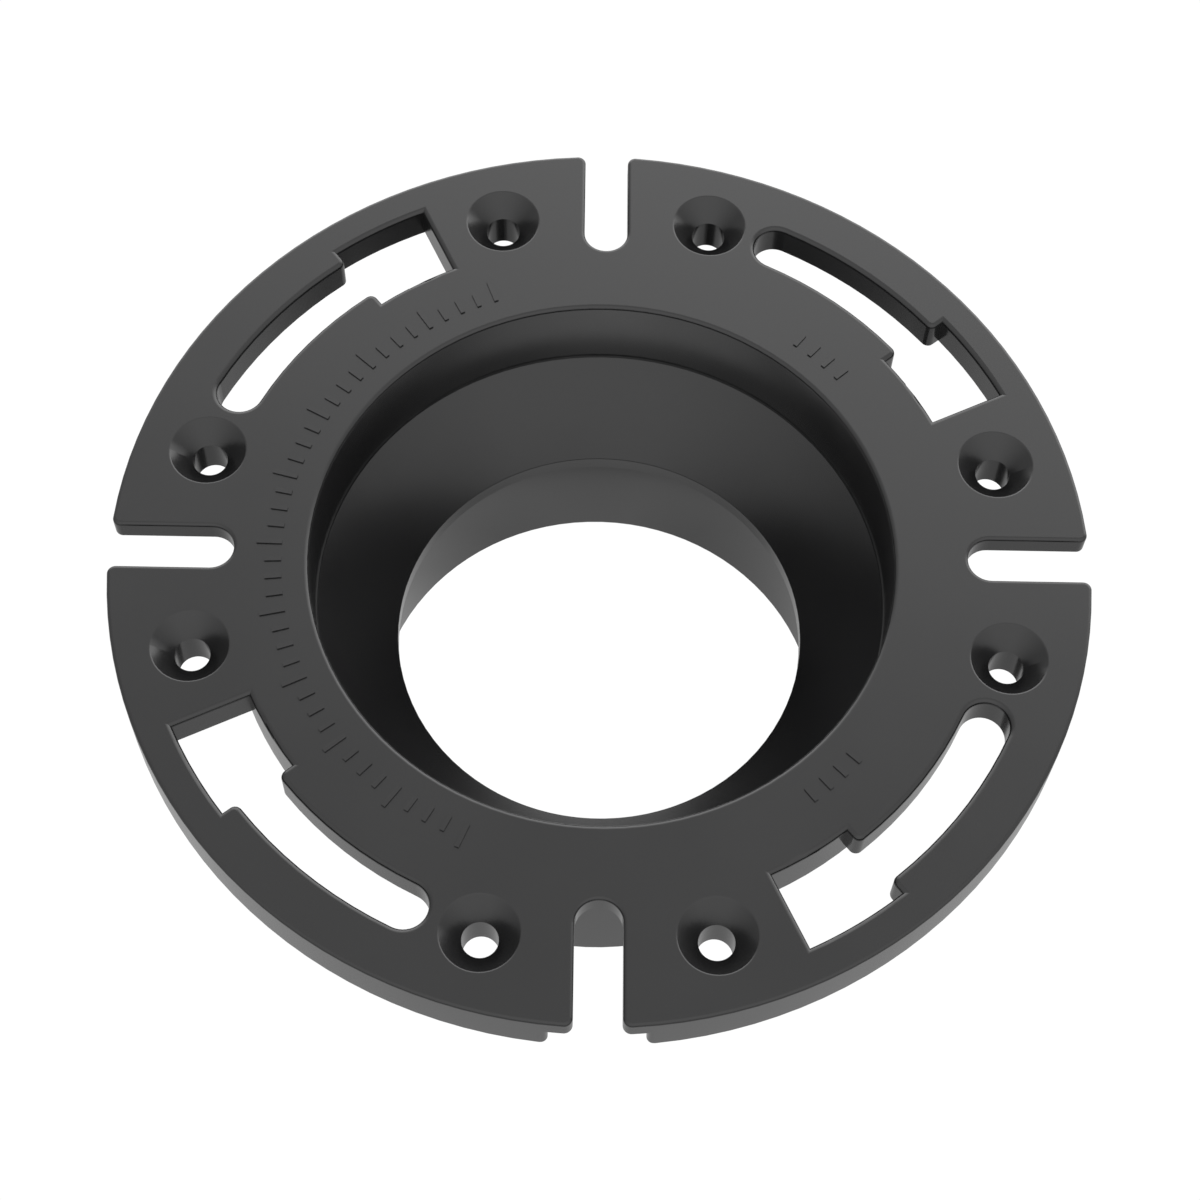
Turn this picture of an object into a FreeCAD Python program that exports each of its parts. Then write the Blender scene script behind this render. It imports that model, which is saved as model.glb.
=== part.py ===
import FreeCAD, Part
import Sketcher
import math
import os

# Closet flange, moulded in one piece: a ring that is screwed to the floor and holds the
# closet bolts, on a hub that takes 3 inch pipe inside or slips into 4 inch pipe.
# Lengths are in millimetres and angles in degrees. The hub's end stands on Z = 0, +Z is up
# and a bolt slot lies on +X. Depths are measured down from the flange's top face.

SIZES = {
    # Ring: the bolt circle is the circle that the screws, slots and keyholes stand on
    "bolt_circle_diameter": 150.8,
    "rim_margin": 13.5,
    "plate_thickness": 4.2,
    "rim_height": 11.0,
    "rim_thickness": 3.5,
    "top_edge_round": 0.7,
    "rim_foot_round": 1.0,
    # Recess for the bowl's outlet, and the funnel down to the bore
    "recess_diameter": 106.1,
    "recess_taper": 0.1,
    "recess_depth": 16.25,
    "recess_lip_round": 0.8,
    "ledge_width": 0.2,
    "ledge_height": 0.7,
    "funnel_height": 15.2,
    "throat_round": 0.2,
    "bore_diameter": 77.2,
    "bore_length": 3.2,
    # Hub with its pipe socket, and the outside of the funnel
    "socket_diameter": 89.7,
    "socket_depth": 34.5,
    "socket_mouth_round": 0.8,
    "hub_wall": 5.8,
    "hub_end_round": 0.9,
    "funnel_wall": 4.2,
    "shoulder_drop": 2.25,
    "shoulder_height": 6.9,
    "root_round": 0.9,
    # Open bolt slots, and the gaps in the rim below their mouths
    "slot_width": 8.3,
    "slot_reach": 4.75,
    "slot_mouth_round": 1.5,
    "rim_gap_side": 4.15,
    "rim_gap_round": 1.5,
    # Countersunk floor screws, one each side of a bolt slot
    "screw_angle": 15.4,
    "screw_hole_diameter": 6.4,
    "countersink_diameter": 14.0,
    "countersink_angle": 90.0,
    "countersink_round": 0.4,
    "boss_wall": 3.8,
    # Keyhole slots: the wide part comes first, anticlockwise from a bolt slot
    "key_start_angle": 25.5,
    "key_wide_angle": 13.1,
    "key_end_margin_angle": 25.9,
    "key_wide_width": 14.4,
    "key_narrow_width": 8.5,
    "key_depth": 6.6,
    "key_collar": 3.0,
    "key_rib_depth": 10.0,
    "key_step_round": 1.4,
    "key_edge_round": 0.9,
    # Low raised marks round the recess, set like the ticks of a scale
    "mark_inset": 4.8,
    "mark_width": 0.8,
    "mark_height": 0.3,
    "short_mark_length": 3.0,
    "long_mark_extra": 1.6,
    "mark_pitch_angle": 3.4,
    "left_marks_angle": 111.0,
    "upper_marks_angle": 41.3,
    "lower_marks_angle": 307.9,
}

QUARTERS = 4
LEFT_MARKS = 41
SIDE_MARKS = 4
LONG_MARK_STEP = 4
TOLERANCE = 0.001

TOP = "(Sizes.recess_depth + Sizes.ledge_height + Sizes.funnel_height" \
      " + Sizes.bore_length + Sizes.socket_depth)"
UNDERSIDE = TOP + " - Sizes.plate_thickness"
SEAT = TOP + " - Sizes.rim_height"
BOLT_RADIUS = "Sizes.bolt_circle_diameter / 2"
RIM_RADIUS = "(Sizes.bolt_circle_diameter / 2 + Sizes.rim_margin)"
HUB_RADIUS = "Sizes.socket_diameter / 2 + Sizes.hub_wall"
KEY_STEP_ANGLE = "(Sizes.key_start_angle + Sizes.key_wide_angle)"
KEY_END_ANGLE = "(360 / %d - Sizes.key_end_margin_angle)" % QUARTERS
COLLAR_ANGLE = "Sizes.key_collar / (%s) * 180 / pi" % BOLT_RADIUS
WIDE_COLLAR_ANGLES = ("Sizes.key_start_angle - " + COLLAR_ANGLE, KEY_STEP_ANGLE + " + " + COLLAR_ANGLE)

doc = FreeCAD.newDocument("closet_flange")
sheet = doc.addObject("Spreadsheet::Sheet", "Sizes")


def fill_sheet():
    """Write each driving size into a row of the sheet and give its cell the size's name."""
    for row, (name, value) in enumerate(SIZES.items(), start=1):
        sheet.set("A%d" % row, name)
        sheet.set("B%d" % row, str(value))
        sheet.setAlias("B%d" % row, name)
    doc.recompute()


def size(name):
    """The value that the sheet holds for a size."""
    return float(sheet.get(name))


def origin_feature(body, role):
    """One of the body's own origin planes or axes."""
    return next(item for item in body.Origin.OriginFeatures if item.Role == role)


def sketch_on(body, name, plane, height="0", turn="0"):
    """A sketch on an origin plane, raised by a height or turned about the flange's axis."""
    sketch = body.newObject("Sketcher::SketchObject", name)
    sketch.AttachmentSupport = [(origin_feature(body, plane), "")]
    sketch.MapMode = "FlatFace"
    axis = FreeCAD.Vector(0, 1, 0) if plane == "XZ_Plane" else FreeCAD.Vector(0, 0, 1)
    sketch.AttachmentOffset = FreeCAD.Placement(FreeCAD.Vector(), FreeCAD.Rotation(axis, 0))
    sketch.setExpression("AttachmentOffset.Base.z", height)
    sketch.setExpression("AttachmentOffset.Rotation.Angle", turn)
    return sketch


def bind(sketch, constraint, expression):
    """Add a constraint and drive its value by an expression."""
    index = sketch.addConstraint(constraint)
    sketch.setExpression("Constraints[%d]" % index, expression)


def place_point(sketch, geometry, point, across, up):
    """Bind a point's distances from the sketch's origin to two expressions."""
    bind(sketch, Sketcher.Constraint("DistanceX", -1, 1, geometry, point, 1), across)
    bind(sketch, Sketcher.Constraint("DistanceY", -1, 1, geometry, point, 1), up)


def add_polygon(sketch, corners):
    """A closed outline whose corners are bound to pairs of expressions."""
    count = len(corners)
    spoke = FreeCAD.Vector(size("bolt_circle_diameter"), 0, 0)
    turns = [FreeCAD.Rotation(FreeCAD.Vector(0, 0, 1), 360.0 * i / count) for i in range(count)]
    seeds = [turn.multVec(spoke) for turn in turns]
    for i in range(count):
        sketch.addGeometry(Part.LineSegment(seeds[i], seeds[(i + 1) % count]), False)
    for i in range(count):
        sketch.addConstraint(Sketcher.Constraint("Coincident", i, 2, (i + 1) % count, 1))
    for i, (across, up) in enumerate(corners):
        place_point(sketch, i, 1, across, up)


def add_rectangle(sketch, left, right, bottom, top):
    """A rectangle between four expressions."""
    add_polygon(sketch, [(left, bottom), (right, bottom), (right, top), (left, top)])


def add_circle(sketch, across, up, radius):
    """A circle whose centre and radius are bound to expressions."""
    seed = Part.Circle(FreeCAD.Vector(1, 1, 0), FreeCAD.Vector(0, 0, 1), 1)
    circle = sketch.addGeometry(seed, False)
    place_point(sketch, circle, 3, across, up)
    bind(sketch, Sketcher.Constraint("Radius", circle, 1), radius)


def polar(angle):
    """The two expressions for a point of the bolt circle at an angle."""
    return "%s * cos(%s * 1 deg)" % (BOLT_RADIUS, angle), "%s * sin(%s * 1 deg)" % (BOLT_RADIUS, angle)


def turn_profile(body, kind, name, sketch, angle):
    """Revolve a profile about the flange's axis: a Revolution adds and a Groove cuts."""
    feature = body.newObject("PartDesign::" + kind, name)
    feature.Profile = sketch
    feature.ReferenceAxis = (sketch, ["V_Axis"])
    feature.setExpression("Angle", angle)
    doc.recompute()
    return feature


def push_profile(body, kind, name, sketch, length, upward=False):
    """Extrude a plan outline: a Pad adds and a Pocket cuts, downwards if not told otherwise."""
    feature = body.newObject("PartDesign::" + kind, name)
    feature.Profile = sketch
    feature.Reversed = kind == "Pad" and not upward
    feature.setExpression("Length", length)
    doc.recompute()
    return feature


def repeat_round(body, name, features, count, angle="360"):
    """Repeat features at equal steps round the flange's axis."""
    pattern = body.newObject("PartDesign::PolarPattern", name)
    pattern.Originals = features
    pattern.Axis = (origin_feature(body, "Z_Axis"), [""])
    pattern.Occurrences = count
    pattern.setExpression("Angle", angle)
    body.Tip = pattern
    doc.recompute()


def round_edges(body, name, pick):
    """Round the edges that a function picks from the body's shape so far."""
    base = body.Tip
    shape = base.Shape
    picked = pick(shape)
    numbered = enumerate(shape.Edges, start=1)
    numbers = [number for number, edge in numbered if any(edge.isSame(other) for other in picked)]
    fillet = body.newObject("PartDesign::Fillet", name + "ing")
    fillet.Base = (base, ["Edge%d" % number for number in numbers])
    fillet.setExpression("Radius", "Sizes." + name)
    doc.recompute()


def near(a, b):
    return abs(a - b) < TOLERANCE


def at_height(piece, height):
    """True if the whole edge or face lies at one height."""
    return near(piece.BoundBox.ZMin, height) and near(piece.BoundBox.ZMax, height)


def is_upright(edge):
    """True for an upright straight edge."""
    box = edge.BoundBox
    return isinstance(edge.Curve, Part.Line) and near(box.XLength, 0) and near(box.YLength, 0)


def plan_point(radius, angle):
    """The plan point at a radius and an angle."""
    turn = FreeCAD.Rotation(FreeCAD.Vector(0, 0, 1), angle)
    return turn.multVec(FreeCAD.Vector(radius, 0, 0))


def arcs_at(shape, radius, height):
    """Circles and arcs of one radius round the flange's axis, at one height."""
    level = [edge for edge in shape.Edges if at_height(edge, height)]
    arcs = [edge for edge in level if isinstance(edge.Curve, Part.Circle)]
    return [
        edge for edge in arcs
        if near(edge.Curve.Radius, radius) and near(math.hypot(*edge.Curve.Center[:2]), 0)
    ]


def top_face(shape):
    """The ring's flat top face."""
    flat = [face for face in shape.Faces if at_height(face, ring_top())]
    return max(flat, key=lambda face: face.Area)


def section_corners():
    """The flange's half section without its roundings, from the socket's mouth outwards."""
    socket = "Sizes.socket_diameter / 2"
    bore = "Sizes.bore_diameter / 2"
    rim_inside = RIM_RADIUS + " - Sizes.rim_thickness"
    funnel_outside = "Sizes.recess_diameter / 2 + Sizes.funnel_wall"
    recess_floor = TOP + " - Sizes.recess_depth"
    floor_radius = "Sizes.recess_diameter / 2 - Sizes.recess_taper"
    ledge = floor_radius + " - Sizes.ledge_width"
    shoulder = recess_floor + " - Sizes.shoulder_drop"
    return [
        (socket, "0"),
        (HUB_RADIUS, "0"),
        (HUB_RADIUS, shoulder + " - Sizes.shoulder_height"),
        (funnel_outside, shoulder),
        (funnel_outside, UNDERSIDE),
        (rim_inside, UNDERSIDE),
        (rim_inside, SEAT),
        (RIM_RADIUS, SEAT),
        (RIM_RADIUS, TOP),
        ("Sizes.recess_diameter / 2", TOP),
        (floor_radius, recess_floor),
        (ledge, recess_floor),
        (ledge, recess_floor + " - Sizes.ledge_height"),
        (bore, "Sizes.socket_depth + Sizes.bore_length"),
        (bore, "Sizes.socket_depth"),
        (socket, "Sizes.socket_depth"),
    ]


def make_turned_body(body):
    """Ring, rim, funnel and hub, turned from one section."""
    section = sketch_on(body, "section", "XZ_Plane")
    add_polygon(section, section_corners())
    turn_profile(body, "Revolution", "turned_body", section, "360")


def curved_bar(body, kind, name, radii, heights, angles):
    """A bar bent round the flange's axis, between two radii, two heights and two angles."""
    start, finish = angles
    section = sketch_on(body, name + "_section", "XZ_Plane", turn=start)
    add_rectangle(section, *radii, *heights)
    return turn_profile(body, kind, name, section, "(%s) - (%s)" % (finish, start))


def key_sector(body, kind, name, width, margin, bottom, start, finish):
    """A stretch of keyhole: a curved bar that follows the bolt circle between two angles."""
    half_width = "(%s / 2 + %s)" % (width, margin)
    radii = (BOLT_RADIUS + " - " + half_width, BOLT_RADIUS + " + " + half_width)
    return curved_bar(body, kind, name, radii, (bottom, TOP), (start, finish))


def key_round_end(body, kind, name, margin, length):
    """The round end of a keyhole's narrow part."""
    outline = sketch_on(body, name + "_outline", "XY_Plane", height=TOP)
    across, up = polar(KEY_END_ANGLE)
    add_circle(outline, across, up, "Sizes.key_narrow_width / 2 + " + margin)
    return push_profile(body, kind, name, outline, length)


def make_bosses(body):
    """Bosses that carry the two screws beside a bolt slot down to the floor seat."""
    outlines = sketch_on(body, "boss_outlines", "XY_Plane", height=TOP)
    across, up = polar("Sizes.screw_angle")
    for side in ("", "-"):
        add_circle(outlines, across, side + up, "Sizes.screw_hole_diameter / 2 + Sizes.boss_wall")
    return push_profile(body, "Pad", "screw_bosses", outlines, "Sizes.rim_height")


def make_key_collars(body):
    """The plate's deeper walls round a keyhole, for its wide part, narrow part and round end."""
    collar = "Sizes.key_collar"
    bottom = TOP + " - Sizes.key_depth"
    return [
        key_sector(body, "Revolution", "wide_collar", "Sizes.key_wide_width", collar, bottom,
                   *WIDE_COLLAR_ANGLES),
        key_sector(body, "Revolution", "narrow_collar", "Sizes.key_narrow_width", collar, bottom,
                   KEY_STEP_ANGLE, KEY_END_ANGLE),
        key_round_end(body, "Pad", "end_collar", collar, "Sizes.key_depth"),
    ]


def make_key_ribs(body):
    """Ribs under the plate, on the inner side of the keyholes' wide parts."""
    outside = BOLT_RADIUS + " - Sizes.key_wide_width / 2"
    radii = (outside + " - Sizes.key_collar", outside)
    heights = (TOP + " - Sizes.key_rib_depth", UNDERSIDE)
    rib = curved_bar(body, "Revolution", "key_rib", radii, heights, WIDE_COLLAR_ANGLES)
    repeat_round(body, "key_ribs", [rib], QUARTERS)


def cut_bolt_slot(body):
    """An open slot for a closet bolt, and the wider gap in the rim below its mouth."""
    slot_centre = BOLT_RADIUS + " - Sizes.slot_reach"
    beyond_rim = RIM_RADIUS + " + Sizes.rim_thickness"
    half_slot = "Sizes.slot_width / 2"
    sides = sketch_on(body, "slot_sides", "XY_Plane", height=TOP)
    add_rectangle(sides, slot_centre, beyond_rim, "-" + half_slot, half_slot)
    slot = push_profile(body, "Pocket", "bolt_slot", sides, "Sizes.rim_height")
    end = sketch_on(body, "slot_end", "XY_Plane", height=TOP)
    add_circle(end, slot_centre, "0", half_slot)
    round_end = push_profile(body, "Pocket", "bolt_slot_end", end, "Sizes.rim_height")
    half_gap = "(Sizes.slot_width / 2 + Sizes.rim_gap_side)"
    inside_rim = RIM_RADIUS + " - 2 * Sizes.rim_thickness"
    opening = sketch_on(body, "rim_gap_sides", "XY_Plane", height=UNDERSIDE)
    add_rectangle(opening, inside_rim, beyond_rim, "-" + half_gap, half_gap)
    rim_gap = push_profile(body, "Pocket", "rim_gap", opening, "Sizes.rim_height")
    return [slot, round_end, rim_gap]


def cut_keyhole(body):
    """A keyhole slot: a wide part that passes the bolt's head and a narrow part that holds it."""
    return [
        key_sector(body, "Groove", "key_wide_part", "Sizes.key_wide_width", "0", SEAT,
                   "Sizes.key_start_angle", KEY_STEP_ANGLE),
        key_sector(body, "Groove", "key_narrow_part", "Sizes.key_narrow_width", "0", SEAT,
                   KEY_STEP_ANGLE, KEY_END_ANGLE),
        key_round_end(body, "Pocket", "key_round_end", "0", "Sizes.rim_height"),
    ]


def cut_screw_holes(body):
    """Two countersunk screw holes, one each side of a bolt slot."""
    centres = sketch_on(body, "screw_centres", "XY_Plane", height=TOP)
    across, up = polar("Sizes.screw_angle")
    for side in ("", "-"):
        add_circle(centres, across, side + up, "Sizes.screw_hole_diameter / 2")
    doc.recompute()
    holes = body.newObject("PartDesign::Hole", "screw_holes")
    holes.Profile = centres
    holes.ThreadType = "None"
    holes.HoleCutType = "Countersink"
    holes.HoleCutCustomValues = True
    holes.DepthType = "Dimension"
    holes.DrillPoint = "Flat"
    holes.setExpression("Diameter", "Sizes.screw_hole_diameter")
    holes.setExpression("HoleCutDiameter", "Sizes.countersink_diameter")
    holes.setExpression("HoleCutCountersinkAngle", "Sizes.countersink_angle")
    holes.setExpression("Depth", "Sizes.rim_height + Sizes.plate_thickness")
    doc.recompute()
    return [holes]


def make_mark_row(body, name, start, length, count, step=1):
    """An arc of equal raised marks, each a bar that points at the flange's axis."""
    outline = sketch_on(body, name + "_outline", "XY_Plane", height=TOP, turn=start)
    inner_end = "Sizes.recess_diameter / 2 + Sizes.mark_inset"
    outer_end = inner_end + " + " + length
    add_rectangle(outline, inner_end, outer_end, "-Sizes.mark_width / 2", "Sizes.mark_width / 2")
    mark = push_profile(body, "Pad", name, outline, "Sizes.mark_height", upward=True)
    swept = "%d * Sizes.mark_pitch_angle" % (step * (count - 1))
    repeat_round(body, name + "s", [mark], count, swept)


def make_marks(body):
    """A long scale of marks on the left, and short rows on the right, above and below."""
    short = "Sizes.short_mark_length"
    long = "Sizes.short_mark_length + Sizes.long_mark_extra"
    long_marks = 1 + (LEFT_MARKS - 1) // LONG_MARK_STEP
    make_mark_row(body, "left_mark", "Sizes.left_marks_angle", short, LEFT_MARKS)
    make_mark_row(body, "long_mark", "Sizes.left_marks_angle", long, long_marks, LONG_MARK_STEP)
    make_mark_row(body, "upper_mark", "Sizes.upper_marks_angle", short, SIDE_MARKS)
    make_mark_row(body, "lower_mark", "Sizes.lower_marks_angle", short, SIDE_MARKS)


def ring_top():
    """The height of the ring's top face above the hub's end."""
    depths = ("recess_depth", "ledge_height", "funnel_height", "bore_length", "socket_depth")
    return sum(size(name) for name in depths)


def rim_radius():
    return size("bolt_circle_diameter") / 2 + size("rim_margin")


def slot_mouth_corners(shape):
    """Upright corners where the bolt slots open through the ring's outline."""
    return [
        edge for edge in shape.Edges
        if is_upright(edge) and near(edge.BoundBox.ZMax, ring_top())
        and near(math.hypot(edge.BoundBox.XMin, edge.BoundBox.YMin), rim_radius())
    ]


def key_step_corners(shape):
    """Upright outside corners where the keyholes step from wide to narrow."""
    step = size("key_start_angle") + size("key_wide_angle")
    half_width = size("key_narrow_width") / 2
    spots = [
        plan_point(size("bolt_circle_diameter") / 2 + offset, step + 360 * quarter / QUARTERS)
        for quarter in range(QUARTERS) for offset in (-half_width, half_width)
    ]
    return [
        edge for edge in shape.Edges
        if is_upright(edge) and any(
            near(edge.BoundBox.XMin, spot.x) and near(edge.BoundBox.YMin, spot.y) for spot in spots)
    ]


def rim_gap_corners(shape):
    """Lower corners of the rim where it stops at the gaps."""
    seat = ring_top() - size("rim_height")
    return [
        edge for edge in shape.Edges if isinstance(edge.Curve, Part.Line) and at_height(edge, seat)
    ]


def outline_edges(shape):
    """The ring's outline on top, in and out of the bolt slots."""
    return top_face(shape).OuterWire.Edges


def key_edges(shape):
    """The outlines of the keyholes on top: the only inner outlines made of several edges."""
    face = top_face(shape)
    inner = [wire for wire in face.Wires if not wire.isSame(face.OuterWire)]
    return [edge for wire in inner if len(wire.Edges) > 1 for edge in wire.Edges]


def countersink_edges(shape):
    """The circles where the countersinks meet the top."""
    radius = size("countersink_diameter") / 2
    return [
        edge for edge in top_face(shape).Edges
        if isinstance(edge.Curve, Part.Circle) and edge.isClosed() and near(edge.Curve.Radius, radius)
    ]


def round_turned_edges(body):
    """Round the edges that run all the way round the turned section."""
    top = ring_top()
    recess_radius = size("recess_diameter") / 2
    throat_height = size("socket_depth") + size("bore_length")
    socket_radius = size("socket_diameter") / 2
    hub_radius = socket_radius + size("hub_wall")
    underside = top - size("plate_thickness")
    rings = [
        ("recess_lip_round", recess_radius, top),
        ("throat_round", size("bore_diameter") / 2, throat_height),
        ("hub_end_round", hub_radius, 0),
        ("socket_mouth_round", socket_radius, 0),
        ("root_round", recess_radius + size("funnel_wall"), underside),
    ]
    for name, radius, height in rings:
        round_edges(body, name, lambda shape: arcs_at(shape, radius, height))


def round_ring_edges(body):
    """Round the corners and edges of the rim, the slots, the keyholes and the countersinks."""
    seat = ring_top() - size("rim_height")
    round_edges(body, "slot_mouth_round", slot_mouth_corners)
    round_edges(body, "key_step_round", key_step_corners)
    round_edges(body, "rim_gap_round", rim_gap_corners)
    round_edges(body, "rim_foot_round", lambda shape: arcs_at(shape, rim_radius(), seat))
    round_edges(body, "top_edge_round", outline_edges)
    round_edges(body, "key_edge_round", key_edges)
    round_edges(body, "countersink_round", countersink_edges)


def check_build(body):
    """Stop if any feature failed or the flange isn't one valid solid."""
    for item in doc.Objects:
        if "Invalid" in item.State or "Error" in item.State:
            raise RuntimeError("%s failed" % item.Name)
    shape = body.Shape
    if shape.isNull() or not shape.isValid() or len(shape.Solids) != 1:
        raise RuntimeError("the flange isn't one valid solid")


def make_closet_flange():
    """The whole flange, from the turned body to its marks."""
    body = doc.addObject("PartDesign::Body", "closet_flange")
    body.Label = "closet_flange"
    body.Placement = FreeCAD.Placement()
    make_turned_body(body)
    round_turned_edges(body)
    underside_features = [make_bosses(body)] + make_key_collars(body)
    repeat_round(body, "underside_features", underside_features, QUARTERS)
    openings = cut_bolt_slot(body) + cut_keyhole(body) + cut_screw_holes(body)
    repeat_round(body, "openings", openings, QUARTERS)
    round_ring_edges(body)
    make_key_ribs(body)
    make_marks(body)
    doc.recompute()
    return body


fill_sheet()
flange = make_closet_flange()
check_build(flange)
os.makedirs("parts", exist_ok=True)
flange.Shape.exportStep("parts/closet_flange.step")
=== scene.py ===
import bmesh
import bpy
import math
from mathutils import Matrix, Vector

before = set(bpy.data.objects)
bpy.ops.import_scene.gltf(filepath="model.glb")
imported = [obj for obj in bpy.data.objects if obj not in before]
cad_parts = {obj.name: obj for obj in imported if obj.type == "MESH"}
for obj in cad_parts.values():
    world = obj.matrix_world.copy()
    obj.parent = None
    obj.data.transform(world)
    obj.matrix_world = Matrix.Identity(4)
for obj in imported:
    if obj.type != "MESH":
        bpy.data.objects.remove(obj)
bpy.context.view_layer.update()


# Camera. It looks down into the recess from in front of the flange, a little from the left,
# and is turned slightly about its own axis, as the photograph was taken.
# The place is in metres, the angles are in degrees, the lens and its sensor in millimetres.
CAMERA_PLACE = (-0.005646, -0.217275, 0.471832)
CAMERA_LOOK_DOWN = 62.599
CAMERA_TURN = -4.247
CAMERA_ROLL = 4.730
CAMERA_LENS = 75.718
CAMERA_SHIFT = -0.04743
CAMERA_SENSOR = 36.0
CAMERA_NEAREST = 0.01

camera_data = bpy.data.cameras.new("camera")
camera_data.sensor_width = CAMERA_SENSOR
camera_data.lens = CAMERA_LENS
camera_data.shift_x = CAMERA_SHIFT
camera_data.clip_start = CAMERA_NEAREST
camera = bpy.data.objects.new("camera", camera_data)
bpy.context.scene.collection.objects.link(camera)
camera.matrix_world = (
    Matrix.Translation(CAMERA_PLACE)
    @ Matrix.Rotation(math.radians(CAMERA_TURN), 4, "Z")
    @ Matrix.Rotation(math.radians(90 - CAMERA_LOOK_DOWN), 4, "X")
    @ Matrix.Rotation(math.radians(CAMERA_ROLL), 4, "Z")
)
bpy.context.scene.camera = camera
bpy.context.scene.view_settings.view_transform = "Standard"


# Studio. The flange stands on a white light table that is lit from below, in rings under the
# bore and the hub, and less to the sides. The room round it is white, and brightest behind on
# the right, where a large soft panel leans over the table. The table's top is seen from above
# only, so the flange's underside shows through it from below.
TABLE_SIZE = 4.0
TABLE_GLOW = 1.02
BACKDROP_GLOW = 1.02
# How far the table's rings of light reach from the middle, then each ring's radius and glow.
RINGS_REACH = 0.05
RINGS = [
    (0.006, 1.26), (0.013, 0.90), (0.019, 0.88), (0.024, 0.36), (0.029, 0.36),
    (0.032, 0.88), (0.037, 0.90), (0.044, 0.88), (0.048, 0.66),
]
# Inside the hub's foot the rings keep this share of their glow, from the left to the right.
HUB_FOOT = 0.047
SHARES = [
    (-0.040, 1.10), (-0.030, 0.84), (-0.020, 0.80), (-0.008, 0.98),
    (0.006, 1.0), (0.018, 0.76), (0.040, 0.66),
]
ROOM_GLOW = 0.75
# Each panel's name, direction, where it begins, where it is full, and how much it adds.
PANELS = [
    ("ceiling", (0.0, 0.0, 1.0), 0.25, 0.9, 0.45),
    ("back_panel", (0.26, 0.966, 0.0), 0.4, 0.75, 2.7),
    ("front_panel", (0.14, -0.99, 0.0), -0.2, 0.8, 0.8),
]

floor_shape = bmesh.new()
bmesh.ops.create_grid(floor_shape, x_segments=1, y_segments=1, size=TABLE_SIZE / 2)
floor_data = bpy.data.meshes.new("floor")
floor_shape.to_mesh(floor_data)
floor_shape.free()
floor = bpy.data.objects.new("floor", floor_data)
bpy.context.scene.collection.objects.link(floor)
table_top = bpy.data.materials.new("light_table")
table_top.use_nodes = True
floor_data.materials.append(table_top)
table_nodes, table_links = table_top.node_tree.nodes, table_top.node_tree.links
table_shader = table_nodes["Principled BSDF"]
table_shader.inputs["Base Color"].default_value = (0.0, 0.0, 0.0, 1.0)
table_shader.inputs["Specular IOR Level"].default_value = 0.0
table_shader.inputs["Emission Color"].default_value = (1.0, 1.0, 1.0, 1.0)

table_place = table_nodes.new("ShaderNodeTexCoord")
from_middle = table_nodes.new("ShaderNodeVectorMath")
from_middle.operation = "LENGTH"
table_links.new(table_place.outputs["Object"], from_middle.inputs[0])
along_radius = table_nodes.new("ShaderNodeMapRange")
along_radius.inputs["From Max"].default_value = RINGS_REACH
table_links.new(from_middle.outputs["Value"], along_radius.inputs["Value"])
table_across = table_nodes.new("ShaderNodeSeparateXYZ")
table_links.new(table_place.outputs["Object"], table_across.inputs["Vector"])
along_x = table_nodes.new("ShaderNodeMapRange")
along_x.inputs["From Min"].default_value = -RINGS_REACH
along_x.inputs["From Max"].default_value = RINGS_REACH
table_links.new(table_across.outputs["X"], along_x.inputs["Value"])

ring_glow = table_nodes.new("ShaderNodeValToRGB")
table_links.new(along_radius.outputs["Result"], ring_glow.inputs["Fac"])
side_share = table_nodes.new("ShaderNodeValToRGB")
table_links.new(along_x.outputs["Result"], side_share.inputs["Fac"])
for ramp, stops in (
    (ring_glow.color_ramp, [(radius / RINGS_REACH, glow) for radius, glow in RINGS]),
    (side_share.color_ramp, [((x / RINGS_REACH + 1) / 2, share) for x, share in SHARES]),
):
    while len(ramp.elements) < len(stops):
        ramp.elements.new(1.0)
    for element, (position, tone) in zip(ramp.elements, stops):
        element.position = position
        element.color = (tone, tone, tone, 1.0)

within_hub = table_nodes.new("ShaderNodeMath")
within_hub.operation = "LESS_THAN"
within_hub.inputs[1].default_value = HUB_FOOT
table_links.new(from_middle.outputs["Value"], within_hub.inputs[0])
hub_share = table_nodes.new("ShaderNodeMix")
hub_share.inputs["A"].default_value = 1.0
table_links.new(within_hub.outputs["Value"], hub_share.inputs["Factor"])
table_links.new(side_share.outputs["Color"], hub_share.inputs["B"])
lit_glow = table_nodes.new("ShaderNodeMath")
lit_glow.operation = "MULTIPLY"
table_links.new(ring_glow.outputs["Color"], lit_glow.inputs[0])
table_links.new(hub_share.outputs["Result"], lit_glow.inputs[1])

# The rings light the flange. The table itself looks evenly white.
table_view = table_nodes.new("ShaderNodeLightPath")
table_glow = table_nodes.new("ShaderNodeMapRange")
table_glow.inputs["To Max"].default_value = TABLE_GLOW
table_links.new(table_view.outputs["Is Camera Ray"], table_glow.inputs["Value"])
table_links.new(lit_glow.outputs["Value"], table_glow.inputs["To Min"])
table_links.new(table_glow.outputs["Result"], table_shader.inputs["Emission Strength"])
table_side = table_nodes.new("ShaderNodeNewGeometry")
seen_from_above = table_nodes.new("ShaderNodeMath")
seen_from_above.operation = "SUBTRACT"
seen_from_above.inputs[0].default_value = 1.0
table_links.new(table_side.outputs["Backfacing"], seen_from_above.inputs[1])
table_links.new(seen_from_above.outputs["Value"], table_shader.inputs["Alpha"])

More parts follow.
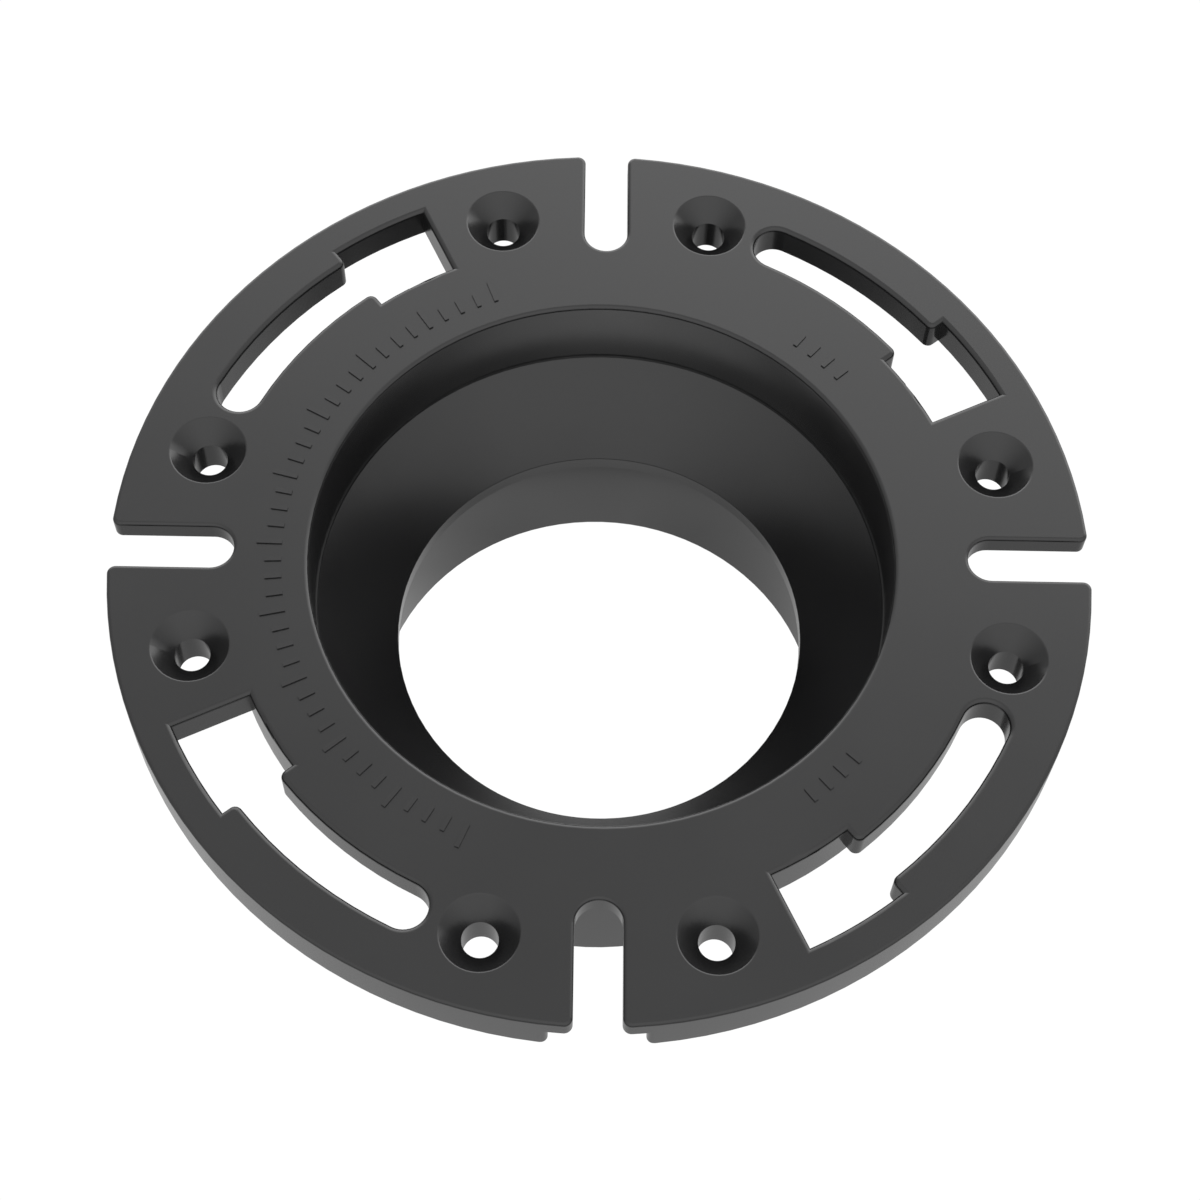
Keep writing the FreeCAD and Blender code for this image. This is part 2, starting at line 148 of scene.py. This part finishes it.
room = bpy.data.worlds.new("white_room")
room.use_nodes = True
room_nodes, room_links = room.node_tree.nodes, room.node_tree.links
direction = room_nodes.new("ShaderNodeTexCoord")
room_glow = room_nodes.new("ShaderNodeValue")
room_glow.outputs[0].default_value = ROOM_GLOW
glow_so_far = room_glow.outputs[0]
for panel_name, panel_direction, panel_edge, panel_full, panel_glow in PANELS:
    facing = room_nodes.new("ShaderNodeVectorMath")
    facing.operation = "DOT_PRODUCT"
    facing.inputs[1].default_value = Vector(panel_direction).normalized()
    panel = room_nodes.new("ShaderNodeMapRange")
    panel.name = panel_name
    panel.inputs["From Min"].default_value = panel_edge
    panel.inputs["From Max"].default_value = panel_full
    panel.inputs["To Max"].default_value = panel_glow
    total = room_nodes.new("ShaderNodeMath")
    total.operation = "ADD"
    room_links.new(direction.outputs["Generated"], facing.inputs[0])
    room_links.new(facing.outputs["Value"], panel.inputs["Value"])
    room_links.new(glow_so_far, total.inputs[0])
    room_links.new(panel.outputs["Result"], total.inputs[1])
    glow_so_far = total.outputs["Value"]
view = room_nodes.new("ShaderNodeLightPath")
backdrop = room_nodes.new("ShaderNodeMapRange")
backdrop.inputs["To Max"].default_value = BACKDROP_GLOW
room_links.new(view.outputs["Is Camera Ray"], backdrop.inputs["Value"])
room_links.new(glow_so_far, backdrop.inputs["To Min"])
room_links.new(backdrop.outputs["Result"], room_nodes["Background"].inputs["Strength"])
room_nodes["Background"].inputs["Color"].default_value = (1.0, 1.0, 1.0, 1.0)
bpy.context.scene.world = room


# Closet flange. One moulding of black ABS. Its mould left a fine satin grain, the gloss drifts
# a little where the plastic cooled unevenly, and packing has rubbed the raised edges.
PLASTIC_COLOUR = (0.0070, 0.0070, 0.0072, 1.0)
RUBBED_COLOUR = (0.0120, 0.0120, 0.0122, 1.0)
PLASTIC_IOR = 1.46
MOULDED_ROUGHNESS = (0.18, 0.24)
RUBBED_ROUGHNESS = 0.26
CLOUD_SCALE = 38.0
CLOUD_DETAIL = 4.0
CLOUD_SPREAD = (0.3, 0.7)
EDGE_RADIUS = 0.0006
EDGE_FLATNESS = (0.99, 0.86)
SCUFF_SCALE = 160.0
SCUFF_DETAIL = 6.0
SCUFF_BREAKUP = 0.65
SCUFF_SPREAD = (0.42, 0.62)
GRAIN_SCALE = 2600.0
GRAIN_DETAIL = 2.0
GRAIN_DEPTH = 0.00001
GRAIN_STRENGTH = 0.25

black_plastic = bpy.data.materials.new("black_abs")
black_plastic.use_nodes = True
plastic_nodes, plastic_links = black_plastic.node_tree.nodes, black_plastic.node_tree.links
plastic_shader = plastic_nodes["Principled BSDF"]
plastic_shader.inputs["IOR"].default_value = PLASTIC_IOR
place = plastic_nodes.new("ShaderNodeTexCoord")

clouds = plastic_nodes.new("ShaderNodeTexNoise")
clouds.inputs["Scale"].default_value = CLOUD_SCALE
clouds.inputs["Detail"].default_value = CLOUD_DETAIL
plastic_links.new(place.outputs["Object"], clouds.inputs["Vector"])
moulded_gloss = plastic_nodes.new("ShaderNodeMapRange")
moulded_gloss.inputs["From Min"].default_value = CLOUD_SPREAD[0]
moulded_gloss.inputs["From Max"].default_value = CLOUD_SPREAD[1]
moulded_gloss.inputs["To Min"].default_value = MOULDED_ROUGHNESS[0]
moulded_gloss.inputs["To Max"].default_value = MOULDED_ROUGHNESS[1]
plastic_links.new(clouds.outputs["Fac"], moulded_gloss.inputs["Value"])

softened = plastic_nodes.new("ShaderNodeBevel")
softened.inputs["Radius"].default_value = EDGE_RADIUS
surface = plastic_nodes.new("ShaderNodeNewGeometry")
flatness = plastic_nodes.new("ShaderNodeVectorMath")
flatness.operation = "DOT_PRODUCT"
plastic_links.new(softened.outputs["Normal"], flatness.inputs[0])
plastic_links.new(surface.outputs["Normal"], flatness.inputs[1])
edges = plastic_nodes.new("ShaderNodeMapRange")
edges.inputs["From Min"].default_value = EDGE_FLATNESS[0]
edges.inputs["From Max"].default_value = EDGE_FLATNESS[1]
plastic_links.new(flatness.outputs["Value"], edges.inputs["Value"])
scuffs = plastic_nodes.new("ShaderNodeTexNoise")
scuffs.inputs["Scale"].default_value = SCUFF_SCALE
scuffs.inputs["Detail"].default_value = SCUFF_DETAIL
scuffs.inputs["Roughness"].default_value = SCUFF_BREAKUP
plastic_links.new(place.outputs["Object"], scuffs.inputs["Vector"])
scuffed = plastic_nodes.new("ShaderNodeMapRange")
scuffed.inputs["From Min"].default_value = SCUFF_SPREAD[0]
scuffed.inputs["From Max"].default_value = SCUFF_SPREAD[1]
plastic_links.new(scuffs.outputs["Fac"], scuffed.inputs["Value"])
rubbed = plastic_nodes.new("ShaderNodeMath")
rubbed.operation = "MULTIPLY"
plastic_links.new(edges.outputs["Result"], rubbed.inputs[0])
plastic_links.new(scuffed.outputs["Result"], rubbed.inputs[1])

colour = plastic_nodes.new("ShaderNodeMix")
colour.data_type = "RGBA"
colour.inputs["A"].default_value = PLASTIC_COLOUR
colour.inputs["B"].default_value = RUBBED_COLOUR
roughness = plastic_nodes.new("ShaderNodeMix")
roughness.inputs["B"].default_value = RUBBED_ROUGHNESS
plastic_links.new(moulded_gloss.outputs["Result"], roughness.inputs["A"])
plastic_links.new(rubbed.outputs["Value"], roughness.inputs["Factor"])
plastic_links.new(rubbed.outputs["Value"], colour.inputs["Factor"])
plastic_links.new(colour.outputs["Result"], plastic_shader.inputs["Base Color"])
plastic_links.new(roughness.outputs["Result"], plastic_shader.inputs["Roughness"])

grain = plastic_nodes.new("ShaderNodeTexNoise")
grain.inputs["Scale"].default_value = GRAIN_SCALE
grain.inputs["Detail"].default_value = GRAIN_DETAIL
plastic_links.new(place.outputs["Object"], grain.inputs["Vector"])
grain_bump = plastic_nodes.new("ShaderNodeBump")
grain_bump.inputs["Distance"].default_value = GRAIN_DEPTH
grain_bump.inputs["Strength"].default_value = GRAIN_STRENGTH
plastic_links.new(grain.outputs["Fac"], grain_bump.inputs["Height"])
plastic_links.new(grain_bump.outputs["Normal"], plastic_shader.inputs["Normal"])

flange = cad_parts["closet_flange"]
for slot in flange.material_slots:
    slot.material = black_plastic
